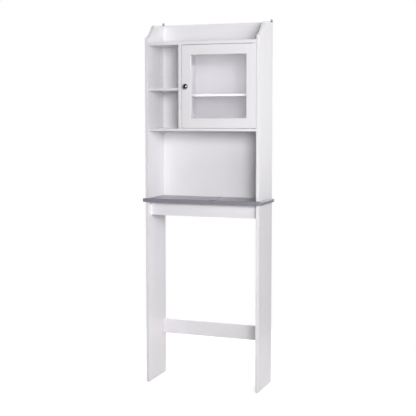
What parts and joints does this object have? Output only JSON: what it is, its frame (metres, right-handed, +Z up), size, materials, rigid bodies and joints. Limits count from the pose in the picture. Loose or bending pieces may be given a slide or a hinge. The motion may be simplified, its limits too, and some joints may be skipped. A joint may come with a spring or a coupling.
{
  "type": "over the toilet storage rack",
  "caption": "Free-standing rack that straddles a toilet: leg panels and stretcher below, worktop, open bay, cubby with shelf, glazed cabinet and curved crown above.",
  "frame": {"origin": "on the floor, at the middle of the rack's box in plan", "axes": "+Z up, +X to the right seen from the front, +Y to the rear; the door faces -Y"},
  "size_m": [0.583, 0.2268, 1.7135],
  "materials": {
    "white_board": "satin white foil over particle board",
    "grey_worktop": "satin grey foil over particle board",
    "backing_board": "matt white print on the front, bare fibre board behind",
    "clear_glass": "clear float glass",
    "dark_chrome": "dark polished",
    "zinc_steel": "zinc plated",
    "cast_zinc": "as cast",
    "white_nylon": "moulded"
  },
  "bodies": {
    "carcass": {"apron_bolt_left": "zinc_steel", "apron_bolt_right": "zinc_steel", "apron_cam_left": "cast_zinc", "apron_cam_right": "cast_zinc", "back_panel": "backing_board", "cabinet_bottom": "white_board", "cabinet_pin_front_left": "zinc_steel", "cabinet_pin_front_right": "zinc_steel", "cabinet_pin_rear_left": "zinc_steel", "cabinet_pin_rear_right": "zinc_steel", "centre_divider": "white_board", "cubby_pin_front_left": "zinc_steel", "cubby_pin_front_right": "zinc_steel", "cubby_pin_rear_left": "zinc_steel", "cubby_pin_rear_right": "zinc_steel", "front_apron": "white_board", "front_stud_left": "zinc_steel", "front_stud_right": "zinc_steel", "gallery_board": "white_board", "left_hanger_screw": "zinc_steel", "left_leg_panel": "white_board", "left_side_panel": "white_board", "left_wall_hanger": "zinc_steel", "lower_pivot_pin": "zinc_steel", "lower_stretcher": "white_board", "magnetic_catch": "white_nylon", "rail_bolt_left": "zinc_steel", "rail_bolt_right": "zinc_steel", "rail_cam_left": "cast_zinc", "rail_cam_right": "cast_zinc", "rear_rail": "white_board", "rear_stud_left": "zinc_steel", "rear_stud_right": "zinc_steel", "right_hanger_screw": "zinc_steel", "right_leg_panel": "white_board", "right_side_panel": "white_board", "right_wall_hanger": "zinc_steel", "stretcher_bolt_left": "zinc_steel", "stretcher_bolt_right": "zinc_steel", "stretcher_cam_left": "cast_zinc", "stretcher_cam_right": "cast_zinc", "top_panel": "white_board", "upper_pivot_pin": "zinc_steel", "worktop": "grey_worktop"},
    "door": {"door_bottom_rail": "white_board", "door_glass": "clear_glass", "door_knob": "dark_chrome", "door_left_stile": "white_board", "door_right_stile": "white_board", "door_top_rail": "white_board", "glazing_bead_bottom": "white_board", "glazing_bead_left": "white_board", "glazing_bead_right": "white_board", "glazing_bead_top": "white_board", "knob_screw": "zinc_steel", "lower_pivot_bush": "white_nylon", "strike_plate": "zinc_steel", "upper_pivot_bush": "white_nylon"},
    "cubby_shelf": {"cubby_shelf": "white_board"},
    "cabinet_shelf": {"cabinet_shelf": "white_board"}
  },
  "joints": [
    {"name": "door_swing", "type": "hinge", "parent": "carcass", "child": "door", "pos_m": [0.245, -0.0834, 1.4015], "axis": [0, 0, 1], "range_deg": [0, 110]},
    {"name": "cubby_shelf_lift", "type": "slide", "parent": "carcass", "child": "cubby_shelf", "axis": [0, 0, 1], "range_m": [0, 0.015]},
    {"name": "cabinet_shelf_lift", "type": "slide", "parent": "carcass", "child": "cabinet_shelf", "axis": [0, 0, 1], "range_m": [0, 0.015]}
  ]
}
